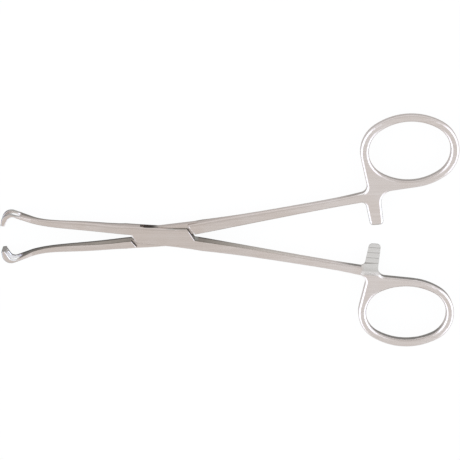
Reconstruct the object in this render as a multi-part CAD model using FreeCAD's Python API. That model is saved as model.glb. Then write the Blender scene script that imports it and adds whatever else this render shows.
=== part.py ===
# Tissue grasping forceps: ring handles, box lock, ratchet, open looped jaws.
# Millimetres. The instrument lies flat: X runs towards the finger rings, Z up.
# The pivot axis is Z, and the back face of the box lock is the plane z = 0.
# Each half is first modelled as it is when the forceps are shut, in its own
# frame: jaw below the X axis, ring above it, and z = 0 at mid thickness.
import FreeCAD, Part
import math
import os

from FreeCAD import Vector

# Rest pose, and the play between faces that move on each other
HALF_OPENING = 4.65
TIP_PLAY = 0.015
SHOULDER_PLAY = 0.4
NECK_PLAY = 0.15
WEB_PLAY = 0.05
PIN_PLAY = 0.04
DISC_PLAY = 0.15
TOOTH_PLAY = 0.03

# Box lock: half height along X, thickness, slot, shoulders, pin
BOX_LEFT = (-13.5, 2.95)
BOX_BEND = [(-6.0, 2.98), (5.0, 3.32), (13.5, 4.03)]
BOX_HALF = 2.9
BOX_END = 13.5
SLOT_HALF = 1.35
SLOT_RADIUS = 8.95
ROOT_INNER = 0.2
ROOT_RISE = 0.105
RIGHT_SHOULDER = 9.4
LEFT_SHOULDER = 10.0
SHOULDER_Y = 1.5
SHOULDER_LEAN = 0.72
PIN_RADIUS = 1.75
OUTER_ROUND = 1.2
INNER_ROUND = 0.3
INNER_ZONE = 1.7
NECK_START = 2.0
NECK_END = 12.0

# The web stands a little out of the cheeks and runs into the roots' outline
WEB_TOP = [(-13.5, 2.95), (-9.0, 2.98), (-4.0, 3.42), (13.5, 4.0)]
WEB_FOOT = [(13.5, -3.6), (6.0, -3.5), (-6.0, -3.3), (-13.5, -2.95)]

# Shank sections: x, inner edge, outer edge, half thickness, inner and outer round
HANDLE_SECTIONS = [
    (26.0, 1.63, 4.95, 2.24, 0.60, 1.60),
    (42.0, 3.28, 6.21, 2.00, 0.90, 1.30),
]
JAW_SECTIONS = [
    (-22.0, 0.40, 2.84, 2.58, 0.25, 1.40),
    (-34.0, 0.33, 2.65, 1.66, 0.25, 1.10),
    (-41.0, 0.60, 2.50, 1.58, 0.30, 0.80),
]

# Both jaws are set over by hand towards the through half's ring
JAW_SET = 0.27
SET_START = -22.0

# Ring end of a handle, one thickness throughout
RING_START = 56.0
RING_HALF = 2.0
BORDER_INNER = [(56.0, 4.76), (65.0, 5.63), (73.0, 6.30)]
BORDER_OUTER = [(56.0, 7.41), (64.5, 8.45), (73.0, 9.90)]
THROUGH_RING = {"centre": (86.5, 22.55), "hole": (14.0, 10.45), "outer": (16.9, 12.8),
                "stem": (71.4, 75.4), "tip": (71.15, 75.8), "reach": -2.45, "corner": 4.0}
SLOTTED_RING = {"centre": (85.9, 21.7), "hole": (13.95, 9.75), "outer": (16.65, 12.3),
                "stem": (71.2, 74.75), "tip": (71.05, 75.05), "reach": -2.05, "corner": 2.6}
RING_TURN = -2.4
END_SHARE = 0.865
STEM_FOOT = 9.0
RATCHET_LEFT = 69.85
RATCHET_CORNER = 1.6
TIP_CORNER = 1.25
STEM_CORNER = 2.4
RING_ROUND = 1.0

# Ratchet teeth: the crests' heights, each with its steep side towards its ring
TOOTH_CRESTS = [-0.92, 0.94, 2.81, 4.68]
TOOTH_DEPTH = 0.6
RUN_OUT_MIDDLE = (7.0, 0.1)
RUN_OUT_END = (8.7, 2.2)
CUT_LEFT = 68.9
CUT_RIGHT = 76.2

# Jaw loop: corners of the bent strip's two sides, its half width, window, pad
LOOP_BASE = -46.0
LOOP_OUTER = [(-46.0, 2.98), (-56.15, 5.21), (-56.15, 0.30)]
LOOP_INNER = [(-46.0, 1.42), (-53.10, 3.83), (-54.87, 0.30)]
OUTER_BEND = 3.1
INNER_BEND = 1.9
LOOP_WIDTH = [(-46.0, 2.05), (-51.6, 3.50), (-57.5, 3.50)]
WIDTH_BEND = 6.0
LOOP_ROUND = 0.35
LEG_WIDTH = 1.45
WINDOW_ROOT = -51.45
WINDOW_CORNER = 0.7
BAR_HEIGHT = 1.35
PAD_LEFT = -56.25
PAD_RIGHT = -54.80
PAD_HEIGHT = 0.6
PAD_CORNER = 0.55
PAD_ROUND = 0.12
GROOVES = 4
GROOVE_PITCH = 0.34
GROOVE_DEPTH = 0.12

# Longer than any cut has to reach
FAR = 30.0


def arc(points):
    """A round edge through three points of the XY plane."""
    return Part.Arc(*[Vector(x, y, 0) for x, y in points]).toShape()


def line(start, end):
    """A straight edge in the XY plane."""
    return Part.LineSegment(Vector(*start, 0), Vector(*end, 0)).toShape()


def plate(edges, half):
    """The area inside a ring of edges, half thick to each side of z = 0."""
    face = Part.Face(Part.Wire(Part.__sortEdges__(edges)))
    face.translate(Vector(0, 0, -half))
    return face.extrude(Vector(0, 0, 2 * half))


def polygon_plate(points, half):
    """A plate with straight sides."""
    following = points[1:] + points[:1]
    return plate([line(a, b) for a, b in zip(points, following)], half)


def turned(point, angle):
    """A point turned about the origin by an angle in degrees."""
    turn = math.radians(angle)
    x, y = point
    return (x * math.cos(turn) - y * math.sin(turn), x * math.sin(turn) + y * math.cos(turn))


def oval_circles(long_half, short_half):
    """Radius and offset of an oval's end circles, then of its flat circles."""
    end = END_SHARE * short_half
    flat = ((long_half - end) ** 2 + short_half ** 2 - end ** 2) / (2 * (short_half - end))
    return end, long_half - end, flat, flat - short_half


def oval_plate(centre, long_half, short_half, half):
    """An upright plate whose outline is an oval of four tangent arcs."""
    end, end_offset, flat, flat_offset = oval_circles(long_half, short_half)
    lean = math.atan2(flat_offset, end_offset)
    joint = (end_offset + end * math.cos(lean), end * math.sin(lean))
    corners = [joint, (-joint[0], joint[1]), (-joint[0], -joint[1]), (joint[0], -joint[1])]
    middles = [(0, short_half), (-long_half, 0), (0, -short_half), (long_half, 0)]
    edges = []
    for number, middle in enumerate(middles):
        points = [turned(p, RING_TURN) for p in (corners[number], middle, corners[(number + 1) % 4])]
        edges.append(arc([(centre[0] + x, centre[1] + y) for x, y in points]))
    return plate(edges, half)


def disc_plate(radius, half):
    """A round plate on the pivot axis."""
    return Part.makeCylinder(radius, 2 * half, Vector(0, 0, -half))


def bent_line(points, radius):
    """Edges along three points, with an arc of this radius at the middle one."""
    before, corner, after = [Vector(x, y, 0) for x, y in points]
    to_before = (before - corner).normalize()
    to_after = (after - corner).normalize()
    half_angle = to_before.getAngle(to_after) / 2
    first = corner + to_before * (radius / math.tan(half_angle))
    last = corner + to_after * (radius / math.tan(half_angle))
    inward = (to_before + to_after).normalize()
    middle = corner + inward * (radius / math.sin(half_angle) - radius)
    return [
        Part.LineSegment(before, first).toShape(),
        Part.Arc(first, middle, last).toShape(),
        Part.LineSegment(last, after).toShape(),
    ]


def side_plate(points, radius):
    """A bent line of (x, z) points and its mirror image, very deep along Y."""
    lower = [(x, -z) for x, z in points]
    edges = bent_line(points, radius) + bent_line(lower, radius)
    edges += [line(points[0], lower[0]), line(points[-1], lower[-1])]
    block = plate(edges, FAR)
    block.rotate(Vector(0, 0, 0), Vector(1, 0, 0), 90)
    return block


def upright_edges(shape, places, reach=0.6):
    """Edges along Z that stand near one of the given plan points."""
    found = []
    for edge in shape.Edges:
        box = edge.BoundBox
        if box.XLength > 1e-4 or box.YLength > 1e-4:
            continue
        for x, y in places:
            if abs(box.XMin - x) < reach and abs(box.YMin - y) < reach:
                found.append(edge)
    return found


def rim_edges(shape, half, wanted):
    """Edges in the planes z = half and z = -half whose middle is wanted."""
    found = []
    for edge in shape.Edges:
        box = edge.BoundBox
        if box.ZLength > 1e-4 or abs(abs(box.ZMin) - half) > 1e-4:
            continue
        middle = edge.valueAt((edge.FirstParameter + edge.LastParameter) / 2)
        if wanted(middle.x, middle.y):
            found.append(edge)
    return found


def end_wire(shape, x):
    """The outline of the shape's flat end at this x."""
    for face in shape.Faces:
        box = face.BoundBox
        if box.XLength < 1e-4 and abs(box.XMin - x) < 1e-4:
            return face.OuterWire
    raise ValueError("no flat end at x = %g" % x)


def shank_section(x, low, high, half, low_round, high_round):
    """A rounded rectangle in the plane at x; its Y sides may be negative."""
    sag = 1 - 0.5 ** 0.5
    way = math.copysign(1, high - low)

    def corner(y, z, radius, y_way, z_way):
        return (Vector(x, y + y_way * radius, z),
                Vector(x, y + y_way * radius * sag, z + z_way * radius * sag),
                Vector(x, y, z + z_way * radius))

    corners = [
        corner(high, half, high_round, -way, -1),
        corner(high, -half, high_round, -way, 1)[::-1],
        corner(low, -half, low_round, way, 1),
        corner(low, half, low_round, way, -1)[::-1],
    ]
    edges = []
    for number, (start, middle, end) in enumerate(corners):
        edges.append(Part.Arc(start, middle, end).toShape())
        following = corners[(number + 1) % 4][0]
        edges.append(Part.LineSegment(end, following).toShape())
    return Part.Wire(edges)


def shank(first, middle, last):
    """A smooth shank through all the outlines, from the first to the last."""
    return Part.makeLoft([first] + middle + [last], True, False)


def tangent_touch(outside, centre, radius, side):
    """Where a line from an outside point touches a circle."""
    across = outside[0] - centre[0]
    along = outside[1] - centre[1]
    bearing = math.atan2(along, across)
    bearing += side * math.acos(radius / math.hypot(across, along))
    return (centre[0] + radius * math.cos(bearing), centre[1] + radius * math.sin(bearing))


def ring_block(ring):
    """The ring, the ratchet arm and the last stretch of the handle."""
    centre = ring["centre"]
    end, end_offset, flat, flat_offset = oval_circles(*ring["outer"])
    end_shift = turned((-end_offset, 0), RING_TURN)
    flat_shift = turned((0, flat_offset), RING_TURN)
    end_centre = (centre[0] + end_shift[0], centre[1] + end_shift[1])
    flat_centre = (centre[0] + flat_shift[0], centre[1] + flat_shift[1])
    handle = plate([
        arc(BORDER_INNER),
        line(BORDER_INNER[-1], BORDER_OUTER[-1]),
        arc(BORDER_OUTER),
        line(BORDER_OUTER[0], BORDER_INNER[0]),
    ], RING_HALF)
    left_foot, right_foot = [(x, STEM_FOOT) for x in ring["stem"]]
    crook = (RATCHET_LEFT, STEM_FOOT - RATCHET_CORNER)
    tips = [(x, ring["reach"]) for x in ring["tip"]]
    stem = polygon_plate([
        left_foot,
        crook,
        *tips,
        right_foot,
        tangent_touch(right_foot, flat_centre, flat, 1),
        centre,
        tangent_touch(left_foot, end_centre, end, -1),
    ], RING_HALF)
    block = handle.fuse([stem, oval_plate(centre, *ring["outer"], RING_HALF)]).removeSplitter()
    inner_crook = (RATCHET_LEFT, BORDER_INNER[-1][1])
    block = block.makeFillet(RATCHET_CORNER, upright_edges(block, [inner_crook]))
    block = block.makeFillet(STEM_CORNER, upright_edges(block, [left_foot]))
    block = block.makeFillet(ring["corner"], upright_edges(block, [right_foot]))
    block = block.makeFillet(TIP_CORNER, upright_edges(block, tips))
    block = block.cut(oval_plate(centre, *ring["hole"], 2 * RING_HALF))
    rims = rim_edges(block, RING_HALF, lambda x, y: x > RING_START + 0.01)
    return block.makeFillet(RING_ROUND, rims)


def tooth_cutter():
    """What is taken off a ratchet arm above its teeth and their run-out."""
    pitch = TOOTH_CRESTS[1] - TOOTH_CRESTS[0]
    crest_z = -TOOTH_PLAY
    root_z = crest_z - TOOTH_DEPTH
    corners = [(TOOTH_CRESTS[0] - pitch, root_z)]
    for crest in TOOTH_CRESTS:
        corners.append((crest, crest_z))
        corners.append((crest, root_z))
    profile = [Vector(CUT_LEFT, y, z) for y, z in corners]
    above = [
        Vector(CUT_LEFT, RUN_OUT_END[0], 2 * RING_HALF),
        Vector(CUT_LEFT, corners[0][0], 2 * RING_HALF),
    ]
    run_out = Part.Arc(
        profile[-1],
        Vector(CUT_LEFT, *RUN_OUT_MIDDLE),
        Vector(CUT_LEFT, *RUN_OUT_END),
    ).toShape()
    edges = [Part.makeLine(a, b) for a, b in zip(profile, profile[1:])]
    edges.append(run_out)
    edges.append(Part.makeLine(Vector(CUT_LEFT, *RUN_OUT_END), above[0]))
    edges.append(Part.makeLine(above[0], above[1]))
    edges.append(Part.makeLine(above[1], profile[0]))
    face = Part.Face(Part.Wire(Part.__sortEdges__(edges)))
    return face.extrude(Vector(CUT_RIGHT - CUT_LEFT, 0, 0))


def loop_block():
    """The jaw's bent loop with its window and cross bar."""
    outer = [(x, -y) for x, y in LOOP_OUTER]
    inner = [(x, -y) for x, y in LOOP_INNER]
    sides = bent_line(outer, OUTER_BEND) + bent_line(inner, INNER_BEND)
    ends = [line(outer[-1], inner[-1]), line(inner[0], outer[0])]
    strip = plate(sides + ends, FAR).common(side_plate(LOOP_WIDTH, WIDTH_BEND))
    window_half = LOOP_WIDTH[-1][1] - LEG_WIDTH
    window = Part.makeBox(FAR, FAR, 2 * window_half,
                          Vector(WINDOW_ROOT - FAR, -FAR, -window_half))
    root = Part.makeCylinder(window_half, FAR, Vector(WINDOW_ROOT, -FAR, 0), Vector(0, 1, 0))
    window = window.fuse(root).removeSplitter()
    window = window.makeFillet(WINDOW_CORNER, window_corners(window, window_half))
    window.translate(Vector(0, -BAR_HEIGHT, 0))
    strip = strip.cut(window)
    return strip.makeFillet(LOOP_ROUND, loop_edges(strip))


def window_corners(window, window_half):
    """The window cutter's edges along X at its top, above the cross bar."""
    found = []
    for edge in window.Edges:
        box = edge.BoundBox
        if box.XLength > 1 and box.YLength < 1e-4 and box.YMin > -1e-4:
            if abs(abs(box.ZMin) - window_half) < 1e-4 and box.ZLength < 1e-4:
                found.append(edge)
    return found


def loop_edges(strip):
    """The rims of the strip and its window, but not the strip's two ends."""
    found = []
    for edge in strip.Edges:
        box = edge.BoundBox
        at_root = box.XMin > LOOP_BASE - 0.01
        at_tip = box.YMax > -PAD_HEIGHT and box.YLength < 0.01
        if not at_root and not at_tip:
            found.append(edge)
    return found


def grip_pad():
    """The pad at the jaw's tip, with grooves across its gripping face."""
    half = LOOP_WIDTH[-1][1]
    pad = Part.makeBox(PAD_RIGHT - PAD_LEFT, PAD_HEIGHT - TIP_PLAY, 2 * half,
                       Vector(PAD_LEFT, -PAD_HEIGHT, -half))
    upright = [edge for edge in pad.Edges if edge.BoundBox.YLength > 1e-4]
    pad = pad.makeFillet(PAD_CORNER, upright)
    flat = [edge for edge in pad.Edges if edge.BoundBox.YLength < 1e-4]
    pad = pad.makeFillet(PAD_ROUND, flat)
    first = (PAD_LEFT + PAD_RIGHT - GROOVE_PITCH * (GROOVES - 1)) / 2
    for number in range(GROOVES):
        x = first + number * GROOVE_PITCH
        pad = pad.cut(polygon_plate([
            (x, -TIP_PLAY - GROOVE_DEPTH),
            (x + GROOVE_DEPTH, -TIP_PLAY),
            (x, -TIP_PLAY + GROOVE_DEPTH),
            (x - GROOVE_DEPTH, -TIP_PLAY),
        ], half + 1))
    return pad


def box_plate():
    """The whole outline of the shut box lock, its long edges rounded."""
    sides = []
    for way in (1, -1):
        left = (BOX_LEFT[0], way * BOX_LEFT[1])
        bend = [(x, way * y) for x, y in BOX_BEND]
        sides += [line(left, bend[0]), arc(bend)]
    for x, y in (BOX_LEFT, BOX_BEND[-1]):
        sides.append(line((x, y), (x, -y)))
    block = plate(sides, BOX_HALF)
    return block.makeFillet(OUTER_ROUND, rim_edges(block, BOX_HALF, lambda x, y: abs(y) > INNER_ZONE))


def shoulder(y, reach):
    """X of a shoulder at this height, with the forceps shut."""
    return reach - SHOULDER_LEAN * (y - SHOULDER_Y)


def root_area(inner, rise, reach):
    """Plan of all that is right of a shoulder and above an inner line."""
    crotch = shoulder(inner, reach)
    end = BOX_END + 1
    end_height = inner + math.copysign(rise, inner) * (end - crotch)
    return [(crotch, inner), (end, end_height), (end, FAR), (shoulder(FAR, reach), FAR)]


def handle_area(inner, play):
    """Plan of the through half's handle root."""
    return root_area(inner, ROOT_RISE, RIGHT_SHOULDER + play)


def jaw_area(inner, play):
    """Plan of the through half's jaw root."""
    return [(-x, -y) for x, y in root_area(-inner, 0.0, LEFT_SHOULDER + play)]


def soften(block):
    """Round the edges along the inner lines and the shoulders."""
    inner_edges = rim_edges(block, BOX_HALF, lambda x, y: abs(y) < INNER_ZONE and abs(x) < BOX_END)
    return block.makeFillet(INNER_ROUND, inner_edges)


def slotted_block():
    """The slotted half's box: two cheeks and the slot between them."""
    block = box_plate()
    for area in (handle_area(-ROOT_INNER, 0.0), jaw_area(ROOT_INNER, 0.0)):
        mirrored = [(x, -y) for x, y in area]
        block = block.cut(polygon_plate(mirrored, FAR))
    block = soften(block)
    gap = ROOT_INNER - NECK_PLAY
    slot = [
        disc_plate(SLOT_RADIUS, SLOT_HALF),
        polygon_plate([(0, gap), (0, FAR), (-FAR, FAR), (-FAR, gap)], SLOT_HALF),
        polygon_plate([(0, -gap), (0, -FAR), (FAR, -FAR), (FAR, -gap)], SLOT_HALF),
    ]
    return block.cut(slot).cut(disc_plate(PIN_RADIUS, FAR))


def through_block():
    """The through half's two roots and the web that lies in the slot."""
    whole = box_plate()
    handle_root = whole.common(polygon_plate(handle_area(ROOT_INNER, SHOULDER_PLAY), FAR))
    jaw_root = whole.common(polygon_plate(jaw_area(-ROOT_INNER, SHOULDER_PLAY), FAR))
    web_half = SLOT_HALF - WEB_PLAY
    neck = [(NECK_START, ROOT_INNER), (NECK_START, FAR),
            (NECK_END, FAR), (NECK_END, ROOT_INNER)]
    plan = disc_plate(SLOT_RADIUS - DISC_PLAY, web_half).fuse([
        polygon_plate(neck, web_half),
        polygon_plate([(-x, -y) for x, y in neck], web_half),
    ])
    web = polygon_plate(WEB_TOP + WEB_FOOT, web_half).common(plan)
    web = web.cut(disc_plate(PIN_RADIUS + PIN_PLAY, FAR))
    return web.fuse([soften(handle_root), soften(jaw_root)])


def set_over(x, way):
    """How far a jaw is set over at x, which grows from its start to the loop."""
    return way * JAW_SET * (SET_START - x) / (SET_START - LOOP_BASE)


def half_of(block, ring, way):
    """One half of the forceps, shut, its jaw set over along Y by way."""
    ring_end = ring_block(ring)
    tip = loop_block().fuse(grip_pad())
    tip.translate(Vector(0, set_over(LOOP_BASE, way), 0))
    handle = shank(
        end_wire(block, BOX_END),
        [shank_section(*values) for values in HANDLE_SECTIONS],
        end_wire(ring_end, RING_START),
    )
    jaw = shank(
        end_wire(block, -BOX_END),
        [shank_section(x, set_over(x, way) - low, set_over(x, way) - high, *rest)
         for x, low, high, *rest in JAW_SECTIONS],
        end_wire(tip, LOOP_BASE),
    )
    return block.fuse([handle, ring_end, jaw, tip])


def mirrored(shape):
    """The shape with its Y side swapped."""
    return shape.mirror(Vector(0, 0, 0), Vector(0, 1, 0))


def placed(shape, angle):
    """The shape turned about the pivot and lifted onto the plane z = 0."""
    shape.rotate(Vector(0, 0, 0), Vector(0, 0, 1), angle)
    shape.translate(Vector(0, 0, BOX_HALF))
    return shape


cutter = tooth_cutter()
slotted = mirrored(half_of(slotted_block(), SLOTTED_RING, -1).cut(cutter))
behind = cutter.mirror(Vector(0, 0, 0), Vector(0, 0, 1))
through = half_of(through_block(), THROUGH_RING, 1).cut(behind)
pin = disc_plate(PIN_RADIUS, BOX_HALF)

nodes = {
    "slotted_half": placed(slotted, -HALF_OPENING),
    "through_half": placed(through, HALF_OPENING),
    "pivot_pin": placed(pin, 0),
}
os.makedirs("parts", exist_ok=True)
for name, shape in nodes.items():
    shape.exportStep("parts/" + name + ".step")
    print(name, shape.isValid(), len(shape.Solids), round(shape.Volume, 1), shape.BoundBox)
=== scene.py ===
# %% [markdown]
# Tissue grasping forceps, dressed for a product picture.
# The forceps lie flat and half open: ring handles to the right, looped jaws to
# the left. The three steel pieces come from the CAD frame with their true
# shapes, so this lesson is about their finish, the light and the camera.

# %% Load the frame
import math

import bmesh
import bpy
from mathutils import Matrix, Vector


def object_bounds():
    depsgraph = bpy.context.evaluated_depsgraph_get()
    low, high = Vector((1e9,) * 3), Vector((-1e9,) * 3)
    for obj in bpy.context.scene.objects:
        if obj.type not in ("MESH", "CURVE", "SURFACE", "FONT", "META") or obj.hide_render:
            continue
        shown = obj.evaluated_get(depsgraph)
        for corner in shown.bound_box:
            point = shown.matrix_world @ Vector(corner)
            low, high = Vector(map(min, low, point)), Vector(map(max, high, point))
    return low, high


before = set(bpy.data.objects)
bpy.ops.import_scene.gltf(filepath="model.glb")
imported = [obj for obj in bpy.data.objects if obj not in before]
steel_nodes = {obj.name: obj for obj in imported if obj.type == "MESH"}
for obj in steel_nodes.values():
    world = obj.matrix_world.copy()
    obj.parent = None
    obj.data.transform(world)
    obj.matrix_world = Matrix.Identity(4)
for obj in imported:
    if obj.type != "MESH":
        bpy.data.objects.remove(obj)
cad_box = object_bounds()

MM = 0.001
print("steel pieces:", ", ".join(sorted(steel_nodes)))

# %% [markdown]
# Colours are written as sRGB hex values, as a colour picker shows them.
# Shaders work in linear light, so one function turns each value over.
# A second helper adds a shader node with its settings and links, which keeps
# every material below readable from top to bottom.

# %% Colour and node helpers
FRONT_COLOUR = "#D8D0CC"


def linear(hex_colour):
    """An sRGB hex colour as linear red, green, blue and alpha."""
    parts = [int(hex_colour[i:i + 2], 16) / 255 for i in (1, 3, 5)]
    shares = [p / 12.92 if p <= 0.04045 else ((p + 0.055) / 1.055) ** 2.4 for p in parts]
    return (*shares, 1.0)


def add_node(tree, kind, settings=None, inputs=None):
    """A node of this kind, its settings set, its inputs set or linked."""
    node = tree.nodes.new(kind)
    for name, value in (settings or {}).items():
        setattr(node, name, value)
    for key, value in (inputs or {}).items():
        if isinstance(value, bpy.types.NodeSocket):
            tree.links.new(value, node.inputs[key])
        else:
            node.inputs[key].default_value = value
    return node


def ramp_stops(ramp, stops):
    """Places a colour ramp's stops at (position, hex colour)."""
    elements = ramp.color_ramp.elements
    while len(elements) < len(stops):
        elements.new(0.5)
    for element, (place, hex_colour) in zip(elements, stops):
        element.position = place
        element.color = linear(hex_colour)


print("steel front in linear light:", [round(v, 3) for v in linear(FRONT_COLOUR)])

# %% [markdown]
# The whole instrument is one steel, so it gets one material. What tells its
# finishes apart is where a point lies and which way it faces, so the material
# starts with these measures, places in millimetres from the pivot:
# x, y and z, and the same without sign as "off pivot" and "off middle";
# "faces x", "faces y" and "faces z", from -1 to 1, and without sign as
# "endways" and "sideways"; "outward", above zero on flanks that face away from
# the gap between the halves and below zero inside it; and "turn", which has one
# sign on two opposite quarters of the box lock and the other on the other two.

# %% Measures of a point on the steel
steel = bpy.data.materials.new("Satin belt-finished stainless steel")
steel.use_nodes = True
steel_tree = steel.node_tree
steel_tree.nodes.clear()


def measures(tree):
    """The measures of each point, and its place in millimetres."""
    place = add_node(tree, "ShaderNodeTexCoord")
    point = add_node(tree, "ShaderNodeVectorMath", {"operation": "SCALE"}, {
        "Vector": place.outputs["Object"], "Scale": 1 / MM,
    }).outputs["Vector"]
    along = add_node(tree, "ShaderNodeSeparateXYZ", inputs={"Vector": point}).outputs
    facing = add_node(tree, "ShaderNodeSeparateXYZ", inputs={
        "Vector": place.outputs["Normal"],
    }).outputs
    found = {
        "x": along["X"], "y": along["Y"], "z": along["Z"],
        "faces x": facing["X"], "faces y": facing["Y"], "faces z": facing["Z"],
    }
    for name, signed in (("off pivot", "x"), ("off middle", "y"),
                         ("endways", "faces x"), ("sideways", "faces y")):
        found[name] = add_node(tree, "ShaderNodeMath", {"operation": "ABSOLUTE"}, {
            0: found[signed],
        }).outputs["Value"]
    for name, place_name in (("outward", "y"), ("turn", "x")):
        found[name] = add_node(tree, "ShaderNodeMath", {"operation": "MULTIPLY"}, {
            0: found["faces y"], 1: found[place_name],
        }).outputs["Value"]
    return found, point


spot, point_mm = measures(steel_tree)
print("measures:", ", ".join(spot))

# %% [markdown]
# Surgical stainless steel is forged, milled, then satin finished with a belt.
# The belt runs along the shanks, so the fronts carry fine lengthwise scratches
# and reflect softly. They are far too fine to show at this picture's size, so
# they are drawn half a millimetre apart, thirty millimetres long and faint.
# The box lock is only ground, so it is a little darker than handles and rings.

# %% Belt-finished fronts
SCRATCH_LENGTH = 30
SCRATCH_SPACING = 0.5
CLOUD_SIZE = 9
GROUND_TINT = "#F3F0ED"


def belt_finish(tree):
    """Colour and roughness of the fronts, and their scratch pattern."""
    stretched = add_node(tree, "ShaderNodeMapping", inputs={
        "Vector": point_mm,
        "Scale": (1 / SCRATCH_LENGTH, 1 / SCRATCH_SPACING, 1 / SCRATCH_SPACING),
    })
    pattern = add_node(tree, "ShaderNodeTexNoise", inputs={
        "Vector": stretched.outputs["Vector"], "Scale": 1.0, "Detail": 3.0, "Roughness": 0.6,
    })
    clouds = add_node(tree, "ShaderNodeTexNoise", inputs={
        "Vector": point_mm, "Scale": 1 / CLOUD_SIZE, "Detail": 2.0,
    })
    tone = add_node(tree, "ShaderNodeValToRGB", inputs={"Fac": pattern.outputs["Fac"]})
    ramp_stops(tone, [(0.3, "#D5CDC9"), (0.5, FRONT_COLOUR), (0.7, "#DBD4D0")])
    warmth = add_node(tree, "ShaderNodeValToRGB", inputs={"Fac": clouds.outputs["Fac"]})
    ramp_stops(warmth, [(0.35, "#FBF9F7"), (0.65, "#FFFFFF")])
    front = add_node(tree, "ShaderNodeMix", {"data_type": "RGBA", "blend_type": "MULTIPLY"}, {
        "Factor": 1.0, "A": tone.outputs["Color"], "B": warmth.outputs["Color"],
    })
    ground = add_node(tree, "ShaderNodeMapRange", {"interpolation_type": "SMOOTHSTEP"}, {
        "Value": spot["x"], "From Min": 15, "From Max": 60, "To Min": 1.0, "To Max": 0.0,
    })
    front = add_node(tree, "ShaderNodeMix", {"data_type": "RGBA", "blend_type": "MULTIPLY"}, {
        "Factor": ground.outputs["Result"],
        "A": front.outputs["Result"], "B": linear(GROUND_TINT),
    })
    roughness = add_node(tree, "ShaderNodeMapRange", inputs={
        "Value": pattern.outputs["Fac"], "From Min": 0.3, "From Max": 0.7,
        "To Min": 0.22, "To Max": 0.32,
    })
    return front.outputs["Result"], roughness.outputs["Result"], pattern.outputs["Fac"]


front_colour, dullness, scratches = belt_finish(steel_tree)
print("scratches %.1f mm apart, %.0f mm long" % (SCRATCH_SPACING, SCRATCH_LENGTH))

# %% [markdown]
# One bar of steel gets several finishes, each where another tool has worked.
# Each finish is a coat with a zone: a place on the forceps and a way that the
# face looks. For each measure a zone gives two fades, from none to full and
# from full back to none, or None where there is no limit. The coats lie over
# each other like varnish, so a later one covers those before it.

# %% Zones and coats
UPRIGHT = ((-0.35, -0.12), (0.12, 0.35))
coats = [front_colour]


def zone(tree, limits, found=spot):
    """A share that is one inside every limit and fades softly to none outside."""
    share = 1.0
    for name, fades in limits.items():
        for fade, start, goal in zip(fades, (0.0, 1.0), (1.0, 0.0)):
            if fade is None:
                continue
            slope = add_node(tree, "ShaderNodeMapRange", {"interpolation_type": "SMOOTHSTEP"}, {
                "Value": found[name], "From Min": fade[0], "From Max": fade[1],
                "To Min": start, "To Max": goal,
            })
            share = add_node(tree, "ShaderNodeMath", {"operation": "MULTIPLY"}, {
                0: share, 1: slope.outputs["Result"],
            }).outputs["Value"]
    return share


def lay_coat(name, finish, share):
    """Lays a finish over the coats before it, a hex colour or a node's colour."""
    mix = add_node(steel_tree, "ShaderNodeMix", {"data_type": "RGBA", "label": name}, {
        "Factor": share, "A": coats[-1],
        "B": linear(finish) if isinstance(finish, str) else finish,
    })
    coats.append(mix.outputs["Result"])


print("an upright wall's z facing fades over", UPRIGHT)

# %% [markdown]
# The shanks' long flanks never see the belt. The flanks that face each other
# get painted shade, the dark reflection of the gap between the halves, so they
# are darker than the fronts: most of all along the jaws, less beside the box
# lock, and least along the handles.

# %% Painted shade on the inner flanks
def inner_painted_shade(tree):
    """The painted shade of the flanks that face each other, along their length."""
    way = add_node(tree, "ShaderNodeMapRange", inputs={
        "Value": spot["x"], "From Min": -50, "From Max": 50,
    })
    painted_flank_shade = add_node(tree, "ShaderNodeValToRGB", inputs={"Fac": way.outputs["Result"]})
    ramp_stops(painted_flank_shade, [(0.0, "#625C56"), (0.13, "#7D766F"), (0.28, "#B0A89F"),
                      (0.64, "#9C948B"), (0.85, "#CCC5BD")])
    return painted_flank_shade.outputs["Color"]


# Painted shade: the flanks that face each other are drawn darker.
lay_coat("inner flank", inner_painted_shade(steel_tree), zone(steel_tree, {
    "sideways": ((0.6, 0.9), None),
    "outward": (None, (-0.4, 0)),
    "x": ((-51, -49), (30, 65)),
}))
print("coats:", len(coats) - 1)

# %% [markdown]
# Painted shade darkens every flank low down, where the steel would mirror its
# own shadow. The dark band climbs higher along the jaws, by an amount that the
# code calls its lift, and it is darker on the inner flanks than on the outer ones.

# %% Painted shade low on the flanks
def low_painted_shade(tree):
    """The painted shade's tone, and the height above its foot."""
    side = add_node(tree, "ShaderNodeMapRange", inputs={
        "Value": spot["outward"], "From Min": -0.5, "From Max": 0.5,
    }).outputs["Result"]
    inner_lift = add_node(tree, "ShaderNodeMapRange", inputs={
        "Value": spot["x"], "From Min": -42, "From Max": -15, "To Min": 1.3, "To Max": 0.0,
    })
    outer_lift = add_node(tree, "ShaderNodeMapRange", inputs={
        "Value": spot["x"], "From Min": -40, "From Max": -5, "To Min": 1.6, "To Max": 0.4,
    })
    lift = add_node(tree, "ShaderNodeMix", {"data_type": "FLOAT"}, {
        "Factor": side, "A": inner_lift.outputs["Result"], "B": outer_lift.outputs["Result"],
    })
    height = add_node(tree, "ShaderNodeMath", {"operation": "SUBTRACT"}, {
        0: spot["z"], 1: lift.outputs["Result"],
    })
    painted_flank_shade = add_node(tree, "ShaderNodeMix", {"data_type": "RGBA"}, {
        "Factor": side, "A": linear("#24211E"), "B": linear("#807A74"),
    })
    return painted_flank_shade.outputs["Result"], height.outputs["Value"]


band_tone, band_height = low_painted_shade(steel_tree)
# Painted shade: a dark band low on every flank, darkest on the inner ones.
lay_coat("painted shade low on flank", band_tone, zone(steel_tree, {
    "sideways": ((0.6, 0.95), None),
    "x": ((-51, -49), (58, 68)),
    "band height": (None, (0.5, 2.4)),
}, {**spot, "band height": band_height}))
print("coats:", len(coats) - 1)
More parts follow.
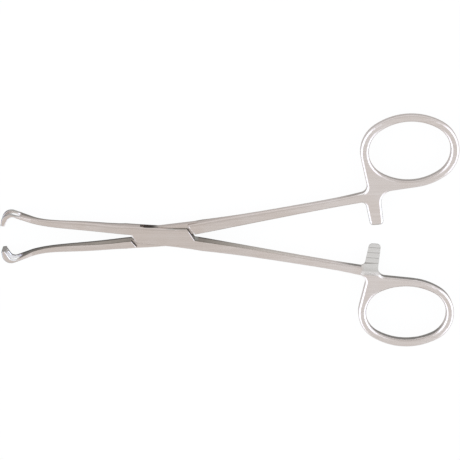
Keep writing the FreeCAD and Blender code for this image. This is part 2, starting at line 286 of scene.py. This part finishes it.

# %% [markdown]
# The box lock's gaps get painted shade. The slot for the other half opens at
# the side as a painted dark strip. Where the cheek's edge crosses the other
# half its foot gets a grey line of painted shade, and the shoulders' walls are
# painted dark.

# %% Painted shade in the gaps of the box lock
# Painted shade: the slot's mouth drawn as a dark strip.
lay_coat("slot mouth", "#2E2B28", zone(steel_tree, {
    "faces z": UPRIGHT,
    "turn": (None, (-4.2, -0.8)),
    "off pivot": (None, (6.8, 7.3)),
    "z": (None, (4.8, 5.2)),
}))
# Painted shade: a grey line along the cheek's foot.
lay_coat("slot lip", "#A7A7A1", zone(steel_tree, {
    "faces z": ((-0.35, -0.12), (0.5, 0.65)),
    "turn": ((0, 1.5), (11, 12)),
    "off middle": (None, (2.9, 3.1)),
    "z": ((0, 1), (5.0, 5.3)),
}))
# Painted shade: the shoulders' walls drawn dark.
lay_coat("lock gap", "#403C38", zone(steel_tree, {
    "endways": ((0.45, 0.6), None),
    "faces z": UPRIGHT,
    "x": ((-16, -15), (15, 16)),
}))
print("coats:", len(coats) - 1)

# %% [markdown]
# On the rings and the ratchet arms the flanks were polished by hand. Painted
# shade lays a grey line on their walls, fainter on one ring than on the other.
# The toothed side of the arm was milled last and is cooler in colour than the
# belt-finished fronts. Where the arm rises to the front its slope gets a painted
# highlight, and painted shade darkens the roots of the teeth.

# %% Painted wall shade, milled ratchet arm, painted highlight and shade
# Painted shade: a grey line on the walls of the rings and arms.
lay_coat("painted shade on wall", "#85827E", zone(steel_tree, {
    "faces z": UPRIGHT,
    "sideways": ((0.3, 0.85), None),
    "x": ((58, 66), None),
    "y": (None, (-20, 55)),
}))
lay_coat("milled arm", "#D7D5D2", zone(steel_tree, {
    "x": ((67.4, 69.6), (76.4, 77.0)),
    "y": ((-15.4, -13.8), (13.8, 15.4)),
    "z": (None, (4.4, 4.9)),
}))
# Painted highlight: the slope where the arm rises is drawn near white.
lay_coat("arm root", "#FDFAF8", zone(steel_tree, {
    "x": ((66, 68), (75.5, 76.5)),
    "off middle": ((12.6, 13.2), (16.5, 17.5)),
    "faces z": ((0.15, 0.3), (0.55, 0.8)),
}))
# Painted shade: the roots of the ratchet teeth drawn darker.
lay_coat("tooth roots", "#9A9793", zone(steel_tree, {
    "x": ((68.6, 68.9), (76.2, 76.6)),
    "y": ((-11.1, -10.9), (0, 1)),
    "z": ((2.0, 2.2), (2.3, 2.42)),
}))
print("coats:", len(coats) - 1)

# %% [markdown]
# The loops were bent and drilled out. Their insides, where tissue lies, get a
# painted highlight. The ledges in their windows look up and get a painted
# highlight too, more on the lower loop, except in the rounded corner, where
# painted shade tones down a glint.

# %% Painted highlights inside the loops
def ledge_painted_highlight(tree):
    """The ledges' painted highlight, brighter on the lower loop than on the upper one."""
    side = add_node(tree, "ShaderNodeMapRange", inputs={
        "Value": spot["y"], "From Min": -2, "From Max": 2,
    })
    painted_ledge_highlight = add_node(tree, "ShaderNodeMix", {"data_type": "RGBA"}, {
        "Factor": side.outputs["Result"], "A": linear("#F0F0F4"), "B": linear("#CFC7C1"),
    })
    return painted_ledge_highlight.outputs["Result"]


# Painted highlight: the loops' insides drawn near white.
lay_coat("loop's inner side", "#F4F5F8", zone(steel_tree, {
    "x": (None, (-51.5, -50)),
    "outward": (None, (-3, -1)),
}))
# Painted highlight: the ledges that look up drawn bright.
lay_coat("window's ledge", ledge_painted_highlight(steel_tree), zone(steel_tree, {
    "x": (None, (-50, -49)),
    "faces z": ((0.5, 0.8), None),
    "z": (None, (4.4, 5.2)),
}))
# Painted shade: the lower window's corner drawn darker to tone down a glint.
lay_coat("lower window's corner", "#9C9698", zone(steel_tree, {
    "x": ((-51.5, -50.6), (-49.2, -48.7)),
    "y": (None, (-4, -2)),
    "z": (None, (4, 5)),
    "faces x": (None, (-0.3, -0.1)),
    "faces z": ((0.3, 0.5), None),
}))
print("coats:", len(coats) - 1)

# %% [markdown]
# Outside the loops stay grey, and painted shade makes their lower rims nearly
# black. The gripping pads at their tips are grooved and left dull, so they look
# darker.

# %% Grey outsides of the loops, painted shade on their rims, and dull pads
lay_coat("loop's outer side", "#B4B3B2", zone(steel_tree, {
    "x": (None, (-50.5, -49)),
    "outward": ((1, 3), None),
    "faces z": UPRIGHT,
}))
lay_coat("loop's far shoulder", "#6C6B70", zone(steel_tree, {
    "x": (None, (-52, -50)),
    "outward": ((-1, 0), None),
    "faces x": (None, (-0.25, -0.1)),
    "faces z": ((0.05, 0.15), (0.85, 0.95)),
}))
lay_coat("loop's outer edge", "#A5A29E", zone(steel_tree, {
    "x": (None, (-50, -48.5)),
    "outward": ((1, 2.5), None),
    "faces x": ((-0.3, -0.15), None),
    "faces z": ((0.1, 0.25), (0.8, 0.95)),
}))
# Painted shade: the loops' lower rims drawn nearly black.
lay_coat("loop's lower rim", "#24211E", zone(steel_tree, {
    "outward": (None, (-1, 0)),
    "x": (None, (-49, -47)),
    "z": (None, (0.3, 0.9)),
    "faces z": (None, (0.4, 0.7)),
}))
lay_coat("gripping pad", "#ABA8A4", zone(steel_tree, {
    "x": (None, (-54.5, -54.1)),
    "y": ((-4.95, -4.8), (5.0, 5.2)),
    "faces z": UPRIGHT,
}))
print("coats:", len(coats) - 1)

# %% [markdown]
# All the coats end in one shader. Steel doesn't turn into a perfect mirror at
# a grazing glance, as a metal without an edge tint would, so its edge tint is
# a light grey. That keeps the walls, seen nearly edge-on, darker than the
# fronts. Where the shanks widen into the rings, the mesh blends the slopes of
# long thin facets, which would leave white flecks, so there each facet keeps
# its own slope.

# %% Satin stainless steel
EDGE_TINT = "#D0CECC"
SCRATCH_DEPTH = 0.02 * MM
SCRATCH_STRENGTH = 0.04


def even_slope(tree):
    """The way each point faces, without the mesh's blending where the shank widens."""
    surface = add_node(tree, "ShaderNodeNewGeometry")
    slope = add_node(tree, "ShaderNodeMix", {"data_type": "VECTOR"}, {
        "Factor": zone(tree, {"x": ((56, 57), (69.5, 70)), "z": ((4.3, 4.4), None)}),
        "A": surface.outputs["Normal"], "B": surface.outputs["True Normal"],
    })
    return slope.outputs["Result"]


bump = add_node(steel_tree, "ShaderNodeBump", inputs={
    "Height": scratches, "Strength": SCRATCH_STRENGTH, "Distance": SCRATCH_DEPTH,
    "Normal": even_slope(steel_tree),
})
metal = add_node(steel_tree, "ShaderNodeBsdfPrincipled", inputs={
    "Base Color": coats[-1],
    "Specular Tint": linear(EDGE_TINT),
    "Roughness": dullness,
    "Normal": bump.outputs["Normal"],
    "Metallic": 1.0,
})
add_node(steel_tree, "ShaderNodeOutputMaterial", inputs={"Surface": metal.outputs["BSDF"]})

for node in steel_nodes.values():
    node.data.materials.clear()
    node.data.materials.append(steel)
print("shader nodes in", steel.name + ":", len(steel_tree.nodes))

# %% [markdown]
# The picture stands on plain white. A wide floor carries the forceps, just
# under their lowest point. It is drawn white for the camera and for what the
# steel mirrors, and it keeps a little of the forceps' own shadow.

# %% White floor
FLOOR_RADIUS = 1.5
FLOOR_GAP = 0.02 * MM
SEEN_GLOW = 0.95
MIRRORED_GLOW = 0.7


def white_paper():
    """Matt paper, drawn white for the camera and for what the steel mirrors."""
    paper = bpy.data.materials.new("White matt paper")
    paper.use_nodes = True
    tree = paper.node_tree
    tree.nodes.clear()
    matt = add_node(tree, "ShaderNodeBsdfDiffuse", inputs={"Color": linear("#F4F4F4")})
    glow = add_node(tree, "ShaderNodeEmission", inputs={"Color": linear("#FFFFFF"), "Strength": 1.0})
    ray = add_node(tree, "ShaderNodeLightPath")
    mirrored = add_node(tree, "ShaderNodeMath", {"operation": "MAXIMUM"}, {
        0: ray.outputs["Is Glossy Ray"], 1: ray.outputs["Is Transmission Ray"],
    })
    mirrored = add_node(tree, "ShaderNodeMath", {"operation": "MULTIPLY"}, {
        0: mirrored.outputs["Value"], 1: MIRRORED_GLOW,
    })
    seen = add_node(tree, "ShaderNodeMath", {"operation": "MULTIPLY"}, {
        0: ray.outputs["Is Camera Ray"], 1: SEEN_GLOW,
    })
    share = add_node(tree, "ShaderNodeMath", {"operation": "MAXIMUM"}, {
        0: seen.outputs["Value"], 1: mirrored.outputs["Value"],
    })
    both = add_node(tree, "ShaderNodeMixShader", inputs={
        0: share.outputs["Value"], 1: matt.outputs["BSDF"], 2: glow.outputs["Emission"],
    })
    add_node(tree, "ShaderNodeOutputMaterial", inputs={"Surface": both.outputs["Shader"]})
    return paper


def white_floor(height):
    """A round floor at this height, a stage piece and not part of the object."""
    mesh = bpy.data.meshes.new("floor")
    shape = bmesh.new()
    bmesh.ops.create_circle(shape, cap_ends=True, segments=96, radius=FLOOR_RADIUS)
    bmesh.ops.translate(shape, verts=shape.verts, vec=(0, 0, height))
    shape.to_mesh(mesh)
    shape.free()
    mesh.materials.append(white_paper())
    floor = bpy.data.objects.new("floor", mesh)
    bpy.context.scene.collection.objects.link(floor)
    return floor


lowest = cad_box[0][2]
floor = white_floor(lowest - FLOOR_GAP)
print("floor %.2f mm under the back of the box lock" % (-floor.data.vertices[0].co.z / MM))

# %% [markdown]
# Polished metal looks like whatever surrounds it. Two tall panels of cool
# white, left and right, give the rounded edges of rings and ratchet arms their
# bright lines. A greyer panel low behind the forceps keeps the edges that face
# it calm. The ceiling between them is soft white, which the flat fronts
# mirror. So the surroundings are drawn from the direction alone.

# %% Studio surroundings
CEILING = 0.89
SIDE_PANELS = 2.6
BACK_PANEL = 0.8
CEILING_TINT = "#FFFFFF"
PANEL_TINT = "#E4EDFF"


def studio_world():
    """Bright panels left and right, a greyer one behind, a white ceiling."""
    world = bpy.data.worlds.new("Studio")
    world.use_nodes = True
    tree = world.node_tree
    tree.nodes.clear()
    where = add_node(tree, "ShaderNodeTexCoord")
    axes = add_node(tree, "ShaderNodeSeparateXYZ", inputs={"Vector": where.outputs["Generated"]})
    across = add_node(tree, "ShaderNodeMath", {"operation": "ABSOLUTE"}, {0: axes.outputs["X"]})
    behind = add_node(tree, "ShaderNodeMapRange", {"interpolation_type": "SMOOTHSTEP"}, {
        "Value": axes.outputs["Y"], "From Min": 0.45, "From Max": 0.9,
        "To Min": CEILING, "To Max": BACK_PANEL,
    })
    panel = add_node(tree, "ShaderNodeMapRange", {"interpolation_type": "SMOOTHSTEP"}, {
        "Value": across.outputs["Value"], "From Min": 0.35, "From Max": 0.7,
    })
    beside = add_node(tree, "ShaderNodeMapRange", {"interpolation_type": "SMOOTHSTEP"}, {
        "Value": axes.outputs["Y"], "From Min": 0.5, "From Max": 0.72,
        "To Min": 1.0, "To Max": 0.0,
    })
    panel = add_node(tree, "ShaderNodeMath", {"operation": "MULTIPLY"}, {
        0: panel.outputs["Result"], 1: beside.outputs["Result"],
    })
    strength = add_node(tree, "ShaderNodeMix", {"data_type": "FLOAT"}, {
        "Factor": panel.outputs["Value"], "A": behind.outputs["Result"], "B": SIDE_PANELS,
    })
    tint = add_node(tree, "ShaderNodeMix", {"data_type": "RGBA"}, {
        "Factor": panel.outputs["Value"], "A": linear(CEILING_TINT), "B": linear(PANEL_TINT),
    })
    sky = add_node(tree, "ShaderNodeBackground", inputs={
        "Color": tint.outputs["Result"], "Strength": strength.outputs["Result"],
    })
    add_node(tree, "ShaderNodeOutputWorld", inputs={"Surface": sky.outputs["Background"]})
    return world


bpy.context.scene.world = studio_world()
print("world:", bpy.context.scene.world.name)

# %% [markdown]
# The camera looks down steeply, leaning a little towards the top of the
# picture, from far enough away that the forceps hardly narrow with distance.
# Its numbers are its tilt, its distance, the size of a pixel on the object and
# the pivot's place. They were worked out from the walls that show beside the
# fronts, and from the two halves, whose outlines agree when turned shut.

# %% Camera
PICTURE = 460
TILT = math.radians(16.5)
ROLL = math.radians(0.54)
DISTANCE = 780 * MM
PIXEL = 0.345 * MM
PIVOT_PIXEL = (164.0, 235.6)
PIVOT_HEIGHT = 2.9 * MM
SENSOR = 36


def photo_camera():
    """A camera at the picture's viewing angle."""
    half = PICTURE / 2
    aim = Vector(((half - PIVOT_PIXEL[0]) * PIXEL,
                  (PIVOT_PIXEL[1] - half) * PIXEL / math.cos(TILT), 0))
    lean = Matrix.Rotation(-TILT, 4, "X")
    place = Matrix.Translation(aim) @ lean @ Matrix.Translation((0, 0, DISTANCE))
    turned = Matrix.Rotation(-ROLL, 4, "Z") @ place
    data = bpy.data.cameras.new("camera")
    data.sensor_width = SENSOR
    data.lens = SENSOR * DISTANCE / PIXEL / PICTURE
    data.clip_start = 0.05
    data.clip_end = 10
    camera = bpy.data.objects.new("camera", data)
    camera.matrix_world = Matrix.Translation((0, 0, PIVOT_HEIGHT)) @ turned
    bpy.context.scene.collection.objects.link(camera)
    return camera


bpy.context.scene.camera = photo_camera()
bpy.context.scene.view_settings.view_transform = "Standard"
print("lens %.0f mm" % bpy.context.scene.camera.data.lens)
